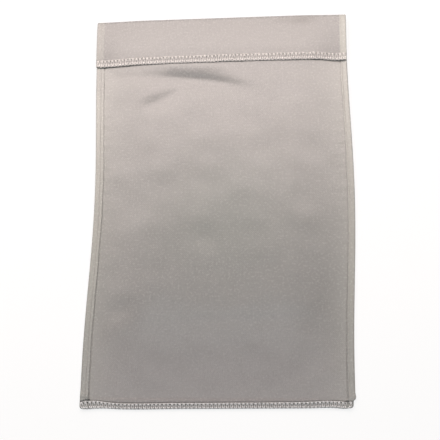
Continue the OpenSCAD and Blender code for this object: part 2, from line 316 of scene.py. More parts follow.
def shell_faces(rows, cols):
    """Quads of a closed sheet: a grid of rows by cols points, the same grid again for its
    other face, and the rim between the two."""
    count = rows * cols
    first = (np.arange(rows - 1)[:, None] * cols + np.arange(cols - 1)[None, :]).ravel()
    face = np.stack([first, first + 1, first + cols + 1, first + cols], 1)
    rim = list(range(cols))
    rim += [(r + 1) * cols - 1 for r in range(1, rows)]
    rim += [(rows - 1) * cols + c for c in range(cols - 2, -1, -1)]
    rim += [r * cols for r in range(rows - 2, 0, -1)]
    rim = np.array(rim)
    after = np.roll(rim, -1)
    border = np.stack([rim, rim + count, after + count, after], 1)
    return np.concatenate([face, face[:, ::-1] + count, border])


def cloth_piece(name, grid, uv, tones, material):
    """A closed sheet of cloth around a grid of points in its middle surface. tones holds
    the strength at each point of the cloth's paler margin, the painted shade of its rounded
    edges, seams, grooves and dark gaps, and on the front also of its cooler and warmer tints."""
    rows, cols = grid.shape[:2]
    normal = grid_normals(grid)
    inner = (grid + normal * CLOTH_T / 2).reshape(-1, 3)
    outer = (grid - normal * CLOTH_T / 2).reshape(-1, 3)

    def twice(values):
        return np.concatenate([values.reshape(rows * cols, -1)] * 2)

    thing = make_mesh(
        name, np.concatenate([inner, outer]), shell_faces(rows, cols), twice(uv),
        [(label, twice(values)) for label, values in tones.items()])
    thing.data.materials.append(material)
    return thing


def catmull(points, steps):
    """A smooth line through points, with steps samples from each point to the next."""
    p = np.asarray(points, float)
    ext = np.concatenate([[2 * p[0] - p[1]], p, [2 * p[-1] - p[-2]]])
    a, b, c, d = ext[:-3], ext[1:-2], ext[2:-1], ext[3:]
    t = (np.arange(steps) / steps)[None, :, None]
    a, b, c, d = (q[:, None, :] for q in (a, b, c, d))
    line = 0.5 * (2 * b + (c - a) * t + (2 * a - 5 * b + 4 * c - d) * t**2
                  + (3 * b - a - 3 * c + d) * t**3)
    return np.concatenate([line.reshape(-1, p.shape[1]), p[-1:]])


def tube(path, radius, sides=6, flat=1.0):
    """Points, faces and uv of a closed tube round a path. flat squeezes it along z.
    A fourth number of a path point makes the tube thicker or thinner there."""
    path = np.asarray(path, float)
    thick = path[:, 3] if path.shape[1] > 3 else np.ones(len(path))
    path = path[:, :3]
    tangent = np.gradient(path, axis=0)
    tangent /= np.linalg.norm(tangent, axis=1, keepdims=True) + 1e-12
    side = np.zeros_like(path)
    current = np.cross(tangent[0], (0, 0, 1.0))
    if np.linalg.norm(current) < 0.2:
        current = np.array((1.0, 0, 0))
    for i, t in enumerate(tangent):
        current = current - t * (current @ t)
        current = current / np.linalg.norm(current)
        side[i] = current
    up = np.cross(tangent, side)
    turn = np.arange(sides) / sides * math.tau
    ring = (np.cos(turn)[None, :, None] * side[:, None, :]
            + np.sin(turn)[None, :, None] * up[:, None, :]) * radius * thick[:, None, None]
    ring[:, :, 2] *= flat
    points = (path[:, None, :] + ring).reshape(-1, 3)
    count = len(path)
    i = (np.arange(count - 1)[:, None] * sides + np.arange(sides)[None, :]).ravel()
    j = (np.arange(count - 1)[:, None] * sides + (np.arange(sides)[None, :] + 1) % sides).ravel()
    faces = np.stack([i, i + sides, j + sides, j], 1).tolist()
    faces.append(list(range(sides)))
    faces.append([(count - 1) * sides + k for k in range(sides - 1, -1, -1)])
    run = np.concatenate([[0], np.cumsum(np.linalg.norm(np.diff(path, axis=0), axis=1))])
    uv = np.stack([np.repeat(run, sides), np.tile(turn * radius, count)], 1)
    return points, faces, uv


def tubes_object(name, paths, radius, material, sides=6, flat=1.0):
    """One object of many tubes."""
    points, faces, uvs, start = [], [], [], 0
    for path in paths:
        p, f, uv = tube(path, radius, sides, flat)
        points.append(p)
        uvs.append(uv)
        faces.extend([[k + start for k in face] for face in f])
        start += len(p)
    thing = make_mesh(name, np.concatenate(points), faces, np.concatenate(uvs), smooth_angle=80)
    thing.data.materials.append(material)
    return thing


# ---------------------------------------------------------------- materials


class Nodes:
    """Short names for building a material's node tree."""

    def __init__(self, name):
        self.material = bpy.data.materials.new(name)
        self.material.use_nodes = True
        self.tree = self.material.node_tree
        self.shader = self.tree.nodes["Principled BSDF"]

    def link(self, source, target):
        self.tree.links.new(source, target)

    def node(self, kind, **values):
        item = self.tree.nodes.new(kind)
        for key, value in values.items():
            setattr(item, key, value)
        return item

    def put(self, socket, value):
        if hasattr(value, "default_value"):
            self.link(value, socket)
        else:
            socket.default_value = value

    def math(self, operation, *values):
        item = self.node("ShaderNodeMath", operation=operation)
        for socket, value in zip(item.inputs, values):
            self.put(socket, value)
        return item.outputs[0]

    def uv(self):
        item = self.node("ShaderNodeUVMap", uv_map="UVMap")
        split = self.node("ShaderNodeSeparateXYZ")
        self.link(item.outputs[0], split.inputs[0])
        return item.outputs[0], split.outputs[0], split.outputs[1]

    def stretch(self, vector, x, y):
        item = self.node("ShaderNodeMapping")
        self.link(vector, item.inputs["Vector"])
        item.inputs["Scale"].default_value = (x, y, 1)
        return item.outputs[0]

    def noise(self, vector, scale, detail=2.0, rough=0.5):
        item = self.node("ShaderNodeTexNoise")
        self.link(vector, item.inputs["Vector"])
        item.inputs["Scale"].default_value = scale
        item.inputs["Detail"].default_value = detail
        item.inputs["Roughness"].default_value = rough
        return item.outputs[0]

    def span(self, value, low, high, to_low, to_high):
        item = self.node("ShaderNodeMapRange")
        for socket, number in zip(item.inputs, (value, low, high, to_low, to_high)):
            self.put(socket, number)
        return item.outputs[0]

    def mix(self, factor, a, b):
        """Colour a, or b where factor is 1. Sockets 6 and 7 are the node's two colours."""
        item = self.node("ShaderNodeMix", data_type="RGBA")
        self.put(item.inputs[0], factor)
        self.put(item.inputs[6], a)
        self.put(item.inputs[7], b)
        return item.outputs[2]

    def attribute(self, name):
        return self.node("ShaderNodeAttribute", attribute_name=name).outputs["Fac"]

    def bump(self, height, distance, strength=1.0, below=None):
        item = self.node("ShaderNodeBump")
        item.inputs["Strength"].default_value = strength
        item.inputs["Distance"].default_value = distance
        self.link(height, item.inputs["Height"])
        if below is not None:
            self.link(below, item.inputs["Normal"])
        return item.outputs["Normal"]


def rgb(red, green, blue):
    """Linear colour from 0-255 sRGB."""
    linear = [(v / 255 / 12.92) if v < 11 else ((v / 255 + 0.055) / 1.055) ** 2.4
              for v in (red, green, blue)]
    return (*linear, 1.0)


YARN_PITCH = 0.00072
TAPE_YARN_PITCH = 0.00055
THREAD_TWIST = 9000  # radians a metre


def plain_weave(n, u, v, pitch):
    """Height from -1 to 1 of a plain weave whose yarns are pitch metres apart."""
    a = n.math("SINE", n.math("MULTIPLY", u, math.pi / pitch))
    b = n.math("SINE", n.math("MULTIPLY", v, math.pi / pitch))
    return n.math("MULTIPLY", a, b)


def cloth_material():
    """Glass cloth with a thin satin coating: fine plain weave, uneven yarns, pale folded edges."""
    n = Nodes("glass_cloth")
    vector, u, v = n.uv()
    warp = n.noise(n.stretch(vector, 1500, 130), 1.0, 2.0)
    weft = n.noise(n.stretch(vector, 130, 1500), 1.0, 2.0)
    fleck = n.noise(vector, 620, 2.0, 0.6)
    cloud = n.noise(vector, 22, 3.0, 0.55)
    yarns = n.math("ADD", warp, weft)
    base = n.mix(n.span(fleck, 0.32, 0.68, 0, 1), rgb(127, 126, 125), rgb(145, 144, 143))
    base = n.mix(n.span(yarns, 0.8, 1.2, 0, 0.35), base, rgb(150, 150, 148))
    base = n.mix(n.span(cloud, 0.35, 0.65, 0, 0.35), base, rgb(140, 138, 136))
    # The last three tones are painted shade: along the rounded folded edges, between seam threads
    # and in grooves, and in the dark slits at the bottom corners.
    tones = (("cool", 0.4, rgb(132, 138, 131)), ("warm", 0.4, rgb(142, 135, 135)),
             ("margin", 0.85, rgb(173, 174, 167)), ("edge_shade", 0.2, rgb(120, 114, 109)),
             ("shade", 0.75, rgb(94, 92, 89)), ("gap", 1.0, rgb(26, 23, 22)))
    for label, strength, color in tones:
        base = n.mix(n.math("MULTIPLY", n.attribute(label), strength), base, color)
    n.link(base, n.shader.inputs["Base Color"])
    n.link(n.span(fleck, 0.3, 0.7, 0.20, 0.30), n.shader.inputs["Roughness"])
    n.shader.inputs["Specular IOR Level"].default_value = 0.9
    weave = n.bump(plain_weave(n, u, v, YARN_PITCH), 0.00005, 0.5)
    slub = n.bump(yarns, 0.00008, 0.65, weave)
    n.link(n.bump(fleck, 0.00012, 0.15, slub), n.shader.inputs["Normal"])
    return n.material


def thread_material(name, dark, light):
    """Spun sewing thread with its twist."""
    n = Nodes(name)
    vector, u, v = n.uv()
    twist = n.math("ADD", u, n.math("MULTIPLY", v, 1.2))
    twist = n.math("SINE", n.math("MULTIPLY", twist, THREAD_TWIST))
    fuzz = n.noise(vector, 2400, 2.0)
    base = n.mix(n.span(fuzz, 0.3, 0.7, 0, 1), dark, light)
    n.link(base, n.shader.inputs["Base Color"])
    n.shader.inputs["Roughness"].default_value = 0.7
    n.shader.inputs["Specular IOR Level"].default_value = 0.4
    n.link(n.bump(fuzz, 0.0001, 0.4, n.bump(twist, 0.00006, 0.6)), n.shader.inputs["Normal"])
    return n.material


def tape_ground_material(name, dark, light):
    """Black woven nylon ground of a tape."""
    n = Nodes(name)
    vector, u, v = n.uv()
    fleck = n.noise(vector, 900, 2.0)
    base = n.mix(n.span(fleck, 0.3, 0.7, 0, 1), dark, light)
    n.link(base, n.shader.inputs["Base Color"])
    n.link(n.span(fleck, 0.3, 0.7, 0.5, 0.7), n.shader.inputs["Roughness"])
    n.link(n.bump(plain_weave(n, u, v, TAPE_YARN_PITCH), 0.0001, 0.7), n.shader.inputs["Normal"])
    return n.material


def filament_material(name, dark, light, rough):
    """Nylon of the hooks or the loops."""
    n = Nodes(name)
    vector, u, v = n.uv()
    streak = n.noise(n.stretch(vector, 300, 4000), 1.0, 2.0)
    n.link(n.mix(n.span(streak, 0.3, 0.7, 0, 1), dark, light), n.shader.inputs["Base Color"])
    n.shader.inputs["Roughness"].default_value = rough
    n.link(n.bump(streak, 0.00004, 0.4), n.shader.inputs["Normal"])
    return n.material


CLOTH = cloth_material()
# One thread in two copies: the top seams' thread is painted lighter and warmer and the foot seam's
# cooler, as lit and shaded copies of one thread.
TOP_THREAD = thread_material("top_seam_thread", rgb(216, 213, 210), rgb(237, 234, 231))
FOOT_THREAD = thread_material("foot_seam_thread", rgb(207, 208, 209), rgb(230, 231, 232))
HEM_THREAD = thread_material("hem_thread", rgb(160, 157, 153), rgb(182, 178, 174))
HOOK_GROUND = tape_ground_material("hook_tape_ground", rgb(34, 34, 35), rgb(52, 52, 54))
LOOP_GROUND = tape_ground_material("loop_tape_ground", rgb(38, 38, 39), rgb(56, 56, 58))
HOOKS = filament_material("hook_filament", rgb(38, 38, 40), rgb(60, 60, 62), 0.4)
LOOPS = filament_material("loop_filament", rgb(40, 40, 42), rgb(66, 66, 68), 0.75)


# ---------------------------------------------------------------- cloth of the back and flap


def half_path(side, hem_width, radius, steps=22):
    """Places across one half of the cloth, from the raw edge of its turned margin to the
    midline, as (side, inset, height of the middle of the cloth above its outer face)."""
    flat = np.linspace(hem_width, radius + CLOTH_T / 2, 9)
    places = [(side, d, CLOTH_T / 2 + 2 * radius) for d in flat]
    turn = np.radians(np.linspace(90, -90, 9))[1:]
    places += [(side, radius + CLOTH_T / 2 - radius * math.cos(a),
                CLOTH_T / 2 + radius + radius * math.sin(a)) for a in turn]
    places += [(side, d, CLOTH_T / 2) for d in np.linspace(radius + 0.8, 7, 12)]
    return places + [(side, d, CLOTH_T / 2) for d in np.linspace(7, HALF_W, steps + 1)[1:-1]]


def across_path(wobble, radius):
    """Places across the whole cloth, from its left raw edge to its right one."""
    left = half_path(-1, float(hem_edge(-1)) + wobble, radius)
    right = half_path(1, float(hem_edge(1)) + wobble, radius)
    return left + [(-1, HALF_W, CLOTH_T / 2)] + right[::-1]


def hem_noise(run):
    """How far the raw edge of a hem wanders from its line."""
    return 0.22 * ripple(np.float64(run), 0.0, 47, 21) + 0.12 * ripple(np.float64(run), 0.0, 9, 22)


def sheet_rows(stations, side_shift):
    """Grid, uv, margin and edge values of a cloth with turned side margins; the edge values are
    the strength of shade painted along its rounded folded edges.
    A station is (y, z, inner normal y, inner normal z, fold radius, way along the cloth).
    side_shift(side, y, inset) moves a place of it sideways."""
    grid, uv, margin, edge = [], [], [], []
    for y, z, ny, nz, radius, run in stations:
        path = across_path(hem_noise(run), radius)
        row, row_uv, row_margin, row_edge_shade = [], [], [], []
        length, last = 0, None
        for side, inset, height in path:
            x = side * (HALF_W - inset)
            if last is not None:
                length += math.hypot(x - last[0], height - last[1])
            last = (x, height)
            rise = height - CLOTH_T / 2
            row.append((x + side_shift(side, y, inset), y + rise * ny, z + rise * nz))
            row_uv.append((length, run))
            on_margin = height > CLOTH_T / 2 + radius
            in_margin = float(ease((hem_edge(side) + 0.4 - inset) / 0.8))
            row_margin.append(1.0 if on_margin else in_margin)
            # Shade painted along the rounded folded edge, strongest at the edge itself.
            row_edge_shade.append(math.exp(-(inset / 0.9)))
        grid.append(row)
        uv.append(row_uv)
        margin.append(row_margin)
        edge.append(row_edge_shade)
    return tuple(np.array(a, float) for a in (grid, uv, margin, edge))


FOLD_IN = CLOTH_T / 2
FOLD_Y = LENGTH - FOLD_IN
BEND_Y = FOLD_Y - FOLD_R
FLAP_MID_Z = FLAP_Z + CLOTH_T / 2
HALF_Z = (FOLD_IN + FLAP_MID_Z) / 2
BAG_FOLD_R = CLOTH_T
FLAP_FOLD_R = CLOTH_T / 2


def back_shift(side, y, inset):
    """Sideways shift of the back cloth: the bow of the bag and the pull of its corners."""
    share = np.clip(inset / 30, 0, 1)
    return float(bow(y)) - side * float(corner_inset(side, y)) * (1 - share)


def back_stations():
    """Down the back cloth from the bottom edge to the middle of the top fold."""
    ys = np.concatenate([np.linspace(0, 9, 19), np.linspace(9, BEND_Y - 6, 145)[1:],
                         np.linspace(BEND_Y - 6, BEND_Y, 9)[1:]])
    stations = []
    for y in ys:
        lift = SEAM_LIFT * float(bottom_lift(y))
        radius = BAG_FOLD_R + (FLAP_FOLD_R - BAG_FOLD_R) * float(ease((y - MOUTH_Y + 1.5) / 3))
        stations.append((y, FOLD_IN + lift, 0, 1, radius, y))
    for k in range(1, 9):
        a = math.pi / 2 * k / 8
        stations.append((BEND_Y + FOLD_R * math.sin(a), FOLD_IN + FOLD_R * (1 - math.cos(a)),
                         -math.sin(a), math.cos(a), FLAP_FOLD_R, BEND_Y + FOLD_R * a))
    start = BEND_Y + FOLD_R * math.pi / 2
    for z in np.linspace(FOLD_IN + FOLD_R, HALF_Z, 4)[1:]:
        stations.append((FOLD_Y, z, -1, 0, FLAP_FOLD_R, start + z - FOLD_IN - FOLD_R))
    return stations


BACK_RUN = BEND_Y + FOLD_R * math.pi / 2 + HALF_Z - FOLD_IN - FOLD_R


def flap_edge(x):
    """Height along the bag of the free edge of the flap."""
    lifted_ends = 0.75 * np.exp(-(((x + 88) / 15) ** 2)) + 0.6 * np.exp(-(((x - 78) / 8) ** 2))
    bow = 1.1 - 1.3 * ((x - 30) / 125) ** 2
    return FLAP_EDGE_Y + bow + lifted_ends + 0.12 * ripple(x, 0 * x, 34, 31)


def flap_drop(x, y):
    """How far the loose sides of the flap hang below its level middle."""
    inset = HALF_W - np.abs(x)
    side = 1 - ease((inset - HEM_W) / MOUTH_SIDE_RAMP)
    dip = 0.6 * np.exp(-(((inset - 15) / 6) ** 2)) + 0.4 * np.exp(-(((inset - 8.5) / 3.5) ** 2))
    free = ease((BEND_Y - 2 - y) / (BEND_Y - 2 - FLAP_EDGE_Y))
    lip = 0.5 * ease((TAPE_FOOT_Y + 6 - y) / 13)
    return FOLD_SINK * side + ((FLAP_SINK - FOLD_SINK) * side + dip) * free + lip


def hem_puff(x, y):
    """How far the side hems stand up where they end at the bottom seam."""
    return 0.7 * np.exp(-(((y - 9) / 2.4) ** 2)) * np.where(x < 0, 1, 0.6)


def corner_gap_shade(x, y):
    """Painted shade, 1 in the dark slits between the ends of the side hems and the bottom seam,
    where the gap lies in shadow.
    """
    inset = HALF_W - np.abs(x)
    left = (y - 4.9 - 1.3 * ease((inset - 1) / 4)) / 0.6
    right = (y - 5.6 - 0.5 * ease((inset - 2) / 5)) / (0.35 + 0.3 * ease((7 - inset) / 3))
    slits = np.exp(-(np.where(x < 0, left, right) ** 2)) * ease((8 - inset) / 1.0)
    return np.maximum(slits, hollow(x, y, 6.2 - HALF_W, 4.6, 0.6, 0.8))


def flap_stations():
    """From the middle of the top fold over to the free edge of the flap."""
    stations = []
    run = BACK_RUN
    for z in np.linspace(HALF_Z, FLAP_MID_Z - FOLD_R, 4):
        stations.append((FOLD_Y, z, -1, 0, FLAP_FOLD_R, run + z - HALF_Z))
    run += FLAP_MID_Z - FOLD_R - HALF_Z
    for k in range(1, 9):
        a = math.pi / 2 * k / 8
        stations.append((BEND_Y + FOLD_R * math.cos(a), FLAP_MID_Z - FOLD_R * (1 - math.sin(a)),
                         -math.cos(a), -math.sin(a), FLAP_FOLD_R, run + FOLD_R * a))
    run += FOLD_R * math.pi / 2
    for y in np.linspace(BEND_Y, FLAP_EDGE_Y, 24)[1:]:
        stations.append((y, FLAP_MID_Z, 0, -1, FLAP_FOLD_R, run + BEND_Y - y))
    return stations


def back_cloth():
    grid, uv, margin, edge = sheet_rows(back_stations(), back_shift)
    x, y = grid[:, :, 0], grid[:, :, 1]
    y[:] = with_bottom_edge(x, y)
    grid[:, :, 2] += back_lift(x, y) + hem_puff(x, y) * (margin > 0.99)
    margin_tone = margin * np.where(x < 0, 0.85 - 0.3 * ease((y - 236) / 16), 0.8)
    margin_tone = margin_tone * (0.6 + 0.4 * ease((y - 20) / 90))
    tones = {"margin": margin_tone, "edge_shade": edge, "gap": corner_gap_shade(x, y),
             "shade": seam_shade(seam_way(x, y), 0.25)}
    thing = cloth_piece("back_cloth", grid, uv, tones, CLOTH)
    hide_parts("back_panel", "left_side_hem", "right_side_hem")
    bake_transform(thing)


def flap_shift(side, y, inset):
    """The flap's sides are straight."""
    return 0.0


def flap_cloth():
    stations = flap_stations()
    grid, uv, margin, edge = sheet_rows(stations, flap_shift)
    x, y = grid[:, :, 0], grid[:, :, 1]
    reach = np.clip((BEND_Y - y) / (BEND_Y - FLAP_EDGE_Y), 0, 1)
    grid[:, :, 1] = y + reach * (flap_edge(x) - FLAP_EDGE_Y)
    height = np.clip((grid[:, :, 2] - HALF_Z) / (FLAP_MID_Z - FOLD_R - HALF_Z), 0, 1)
    grid[:, :, 2] -= flap_drop(x, grid[:, :, 1]) * height
    grid[:, :, 2] += 0.2 * ease((hem_edge(x) + 0.7 - HALF_W + np.abs(x)) / 1.1) * reach**0.3
    way = np.array([[station[5]] * grid.shape[1] for station in stations])
    margin *= np.where(x < 0, 0.42, 1.0)
    # Painted shade: the flap is painted darker towards its top fold, with darker patches beside
    # the fold.
    top_darkening = 0.7 * hollow(x, grid[:, :, 1], 66, 303, 8, 3.2, 8)
    top_darkening += 0.35 * hollow(x, grid[:, :, 1], 53, 303, 13, 2.8, -4)
    top_darkening += 0.17 * hollow(x, grid[:, :, 1], -84, 304, 14, 8)
    top_darkening += 0.13 * ease((grid[:, :, 1] - 284) / 20) * (1 - top_darkening)
    shade = np.maximum(seam_shade((stations[-1][5] - way) * OVERLOCK_W / FLAP_SEAM_W, 0.0), top_darkening)
    tones = {"margin": margin, "edge_shade": edge, "gap": 0 * margin, "shade": shade}
    thing = cloth_piece("flap_cloth", grid, uv, tones, CLOTH)
    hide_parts("closing_flap", "flap_left_hem", "flap_right_hem", "top_fold_strip")
    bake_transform(thing)


def seam_shade(d, low):
    """How much the threads of an overlock seam keep the light off the cloth between them:
    most beside the needle row, only low where the looper threads lie flat side by side."""
    return ease((OVERLOCK_W + 0.5 - d) / 0.7) * (low + (1 - low) * ease((d - 3.1) / 0.7))


def front_cloth():
    inset0 = CLOTH_T + 0.1
    ys = np.concatenate([np.linspace(0, 9, 28), np.linspace(9, MOUTH_Y, 185)[1:]])
    half = np.concatenate([np.linspace(inset0, HEM_W - 1, 5)[:-1],
                           np.linspace(HEM_W - 1, HEM_W + 3, 11)[:-1],
                           np.linspace(HEM_W + 3, HALF_W, 56)])
    across = np.concatenate([-(HALF_W - half), (HALF_W - half)[::-1][1:]])
    x0, y = np.meshgrid(across, ys)
    side = np.sign(x0)
    inset = HALF_W - np.abs(x0)
    x = x0 + bow(y) - side * corner_inset(side, y) * (1 - np.clip(inset / 30, 0, 1))
    way = y
    y = with_bottom_edge(x, way)
    z = front_under(x, y) + CLOTH_T / 2
    grid = np.stack([x, y, z], 2)
    uv = np.stack([x0 + HALF_W, way], 2)
    shade = np.maximum(seam_shade(seam_way(x, y), 0.25), seam_shade(MOUTH_Y - y, 0.25))
    from_hem = inset - hem_edge(x0)
    # Painted shade: a dark line along the inner edge of each hem, and another in the groove above
    # the bottom seam.
    line = np.where(x0 < 0, 0.28, 0.4)
    shade = np.maximum(shade, line * np.exp(-(((from_hem - 0.3) / 0.42) ** 2)))
    groove = (y - bottom_edge(x) - bottom_width(x) + 0.1) / 0.4
    shade = np.maximum(shade, 1.1 * np.exp(-(groove**2)))
    margin = 0.4 * np.exp(-np.clip(from_hem, 0, None) / 14)
    tones = {"margin": margin, "edge_shade": 0 * margin, "shade": shade, "gap": corner_gap_shade(x, y),
             "cool": hollow(x, y, 5, 140, 62, 52), "warm": 1 - ease((y - 20) / 60)}
    thing = cloth_piece("front_cloth", grid, uv, tones, CLOTH)
    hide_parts("front_panel")
    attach(thing, "bag")


front_cloth()
back_cloth()
flap_cloth()

# ---------------------------------------------------------------- threads


def bottom_top(x):
    """Height of the top face of the bottom seam."""
    inset = HALF_W - np.abs(x)
    return SEAM_LIFT + CLOTH_T * np.where(inset < hem_edge(x), 3, 2)


def flap_mid(x, y):
    """Height of the middle of the flap's cloth."""
    return FLAP_MID_Z - flap_drop(x, y)


def mouth_mid(x, y):
    """Height of the middle of the front panel's cloth."""
    return front_under(x, y) + CLOTH_T / 2


def within_sides(x):
    """x, kept inside the sides of the cloth."""
    return float(np.clip(x, EDGE_INSET - HALF_W, HALF_W - EDGE_INSET))


def overlock_path(x0, x1, place, seed, skew, slip):
    """One looper thread: at each stitch it runs from the edge up to the needle row and back,
    its two legs close together and full at both ends, spread and drawn thin between them.
    slip is where a skipped stitch has left a gap.
    place(x, d, level) gives a point: d from the edge, level 1 on the face, -1 past the edge."""
    draw = np.random.default_rng(seed)
    count = int(round((x1 - x0) / STITCH_L))
    pitch = (x1 - x0) / count
    points = []
    legs = ((0.6, -0.2, 0.95), (0.55, 0.35, 1.1), (0.62, 1.0, 0.9), (0.76, 1.9, 0.45),
            (0.7, 2.7, 0.42), (0.5, 3.6, 0.85), (0.4, 4.4, 1.1))
    for i in range(count):
        share = (i + 0.5) / count
        mid = x0 + (i + 0.5) * pitch + draw.normal(0, 0.05)
        mid += 0.4 * math.copysign(math.exp(-(((mid - slip) / 4) ** 2)), mid - slip)
        lean = skew[0] + (skew[1] - skew[0]) * share + draw.normal(0, 0.06)
        lean += 0.9 * math.exp(-(mid - x0) / 8)
        reach = 1 + draw.normal(0, 0.02)
        spread = 1 + draw.normal(0, 0.05)
        for side, leg in ((-1, legs), (1, legs[::-1])):
            for half, d, thick in leg:
                drift = lean * (0.5 - d / OVERLOCK_W)
                spot = place(mid + side * half * spread + drift, d * reach, -1 if d < 0 else 1)
                points.append((*spot, thick))
            if side < 0:
                points.append((*place(mid - lean / 2, OVERLOCK_W * reach, 1), 0.9))
    return np.array(points)


def bottom_place(x, d, level, under=False):
    """A point of the bottom seam, as overlock_path asks for it, or of its lower threads."""
    x = within_sides(x)
    lift = THREAD_R * 0.45
    edge = float(bottom_edge(x))
    d = d * (float(bottom_width(x)) - 0.45) / OVERLOCK_W
    side = math.copysign(1, x)
    x -= side * float(corner_inset(side, d)) * float(np.clip(1 - (HALF_W - abs(x)) / 30, 0, 1))
    if level < 0:
        return x, edge - 0.1, SEAM_LIFT + (CLOTH_T * 0.5 if under else CLOTH_T * 1.3)
    z = float(bottom_top(x)) + lift
    if under:
        z = SEAM_LIFT * 0.62
    return x, edge + d, z


def flap_place(x, d, level, under=False):
    """The same for the seam along the free edge of the flap."""
    x = within_sides(x)
    y = float(flap_edge(x)) + d * FLAP_SEAM_W / OVERLOCK_W
    z = float(flap_mid(x, y))
    if level < 0:
        return x, y + (0.1 if under else -0.1), z + (-0.1 if under else 0.12)
    lift = CLOTH_T / 2 + (0.10 if under else THREAD_R * 0.45)
    if under and HALF_W - abs(x) < HEM_W:
        lift += CLOTH_T
    return x, y, z + (-lift if under else lift)


def mouth_place(x, d, level, under=False):
    """The same for the seam along the mouth, whose edge is its upper side."""
    y = MOUTH_Y - d
    z = float(mouth_mid(x, y))
    if level < 0:
        return x, y + 0.12, z
    lift = CLOTH_T / 2 + THREAD_R * 0.45
    return x, y, z + (-lift if under else lift)


def straight_row(place, start, end, pitch=STITCH_L, dive=0.35, rise=0.1):
    """Path of a row of stitches: place(t, h) gives the point at t along it, h above the cloth."""
    count = int(round((end - start) / pitch))
    step = (end - start) / count
    stitch = ((0.0, -dive), (0.14, rise * 0.6), (0.32, rise), (0.68, rise), (0.86, rise * 0.6))
    points = []
    for i in range(count):
        for share, h in stitch:
            points.append(place(start + (i + share) * step, h))
    points.append(place(end, -dive))
    return np.array(points)


def seam(body, prefix, half_length, place, material, seeds, skew, slip=NO_SLIP):
    """The three threads of an overlock seam from -half_length to half_length."""
    x0, x1 = -half_length, half_length

    def under(x, d, level):
        return place(x, d, level, True)

    def row(t, h):
        x, y, z = place(t, OVERLOCK_W, 1)
        return x, y, z + h - 0.02

    upper = catmull(overlock_path(x0, x1, place, seeds[0], skew, slip), 3)
    lower = catmull(overlock_path(x0, x1, under, seeds[1], skew, slip), 2)
    needle = catmull(straight_row(row, x0 + 0.2, x1 - 0.2), 2)
    made = [
        ("needle_thread", needle, ROW_THREAD_R * 1.1, 0.8),
        ("upper_looper", upper, THREAD_R, 0.85),
        ("lower_looper", lower, THREAD_R * 0.85, 0.35),
    ]
    for part, path, radius, flat in made:
        node = prefix + "_overlock_" + part
        thing = tubes_object(node + "_tube", [path], radius, material, 6, flat)
        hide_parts(node)
        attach(thing, body)


def seams():
    full = HALF_W - EDGE_INSET
    between_hems = HALF_W - HEM_W - 1
    seam("bag", "bottom", full, bottom_place, FOOT_THREAD, seeds=(41, 42), skew=(0.4, 0.0))
    seam("bag", "mouth", between_hems, mouth_place, TOP_THREAD, seeds=(43, 44), skew=(0.3, 0.3))
    seam("flap", "flap", full, flap_place, TOP_THREAD, seeds=(45, 46), skew=(0.6, 0.6), slip=75)


def row_object(node, body, paths, radius=ROW_THREAD_R, flat=0.7):
    """The thread of one or more rows of straight stitches."""
    thing = tubes_object(node + "_tube", paths, radius, HEM_THREAD, 6, flat)
    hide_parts(node)
    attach(thing, body)


def hem_seam_paths(side):
    """Paths of the needle thread and of the bobbin thread along a side hem of the bag."""
    def line(t):
        return side * (HALF_W - HEM_STITCH_INSET) + float(bow(t))

    def lift(t):
        return float(back_lift(line(t), t)) + SEAM_LIFT * float(bottom_lift(t))

    def above(t, h):
        return line(t), t, 3 * CLOTH_T + lift(t) + float(hem_puff(line(t), t)) + h

    def below(t, h):
        return line(t), t, BOBBIN_Z + lift(t) - min(h, 0.0)

    needle = straight_row(above, OVERLOCK_W, MOUTH_Y)
    bobbin = straight_row(below, OVERLOCK_W + 4, MOUTH_Y)
    return catmull(needle, 2), catmull(bobbin, 2)


def flap_hem_paths(side):
    """Paths of the threads along a hem of the flap, on its outside and on its inside."""
    x = side * (HALF_W - HEM_STITCH_INSET)
    y0, y1 = FLAP_EDGE_Y + OVERLOCK_W + 1, BEND_Y - 0.5

    def outside(t, h):
        return x, t, float(flap_mid(x, t)) + CLOTH_T / 2 + h

    def inside(t, h):
        return x, t, float(flap_mid(x, t)) - CLOTH_T * 1.5 - h

    return [catmull(straight_row(face, y0, y1), 2) for face in (outside, inside)]


def hem_rows():
    for side, label in ((-1, "left"), (1, "right")):
        needle, bobbin = hem_seam_paths(side)
        row_object(label + "_hem_needle_thread", "bag", [needle])
        row_object(label + "_hem_bobbin_thread", "bag", [bobbin], flat=0.6)
        row_object("flap_%s_hem_thread" % label, "flap", flap_hem_paths(side))


seams()
hem_rows()

# ---------------------------------------------------------------- hook and loop tapes


def hook_sink(x, y):
    """How far the front panel, and the hook tape with it, lies below its level middle."""
    return CLOTH_T + MOUTH_GAP - front_under(x, y)


def tape_ground(name, low, high, z0, z1, sink, material):
    """Woven ground of a tape, with rounded edges. sink(x, y) bends it down with its cloth."""
    xs = np.linspace(low[0] - MID_X, high[0] - MID_X, 80)
    ys = np.linspace(low[1] - BOTTOM_Y, high[1] - BOTTOM_Y, 21)
    x, y = np.meshgrid(xs, ys)
    mid, half = (z0 + z1) / 2, (z1 - z0) / 2
    side = np.minimum(y - ys[0], ys[-1] - y)
    end = np.minimum(x - xs[0], xs[-1] - x)
    thin = half * (0.55 + 0.45 * ease(np.minimum(side, end) / 0.9))
    down = sink(x, y)
    top = np.stack([x, y, mid + thin - down], 2).reshape(-1, 3)
    under = np.stack([x, y, mid - thin - down], 2).reshape(-1, 3)
    uv = np.tile(np.stack([x, y], 2).reshape(-1, 2), (2, 1))
    thing = make_mesh(name, np.concatenate([top, under]), shell_faces(*x.shape), uv)
    thing.data.materials.append(material)
    return thing


def tape_field(low, high, inset, dx, dy, seed):
    """Places on a tape, dx by dy apart, with a little scatter."""
    draw = np.random.default_rng(seed)
    x0, x1 = low[0] - MID_X + inset, high[0] - MID_X - inset
    y0, y1 = low[1] - BOTTOM_Y + inset, high[1] - BOTTOM_Y - inset
    xs = np.linspace(x0, x1, int((x1 - x0) / dx))
    ys = np.linspace(y0, y1, int((y1 - y0) / dy))
    x, y = np.meshgrid(xs, ys)
    places = np.stack([x.ravel(), y.ravel()], 1)
    return places + draw.normal(0, 0.08, places.shape), draw


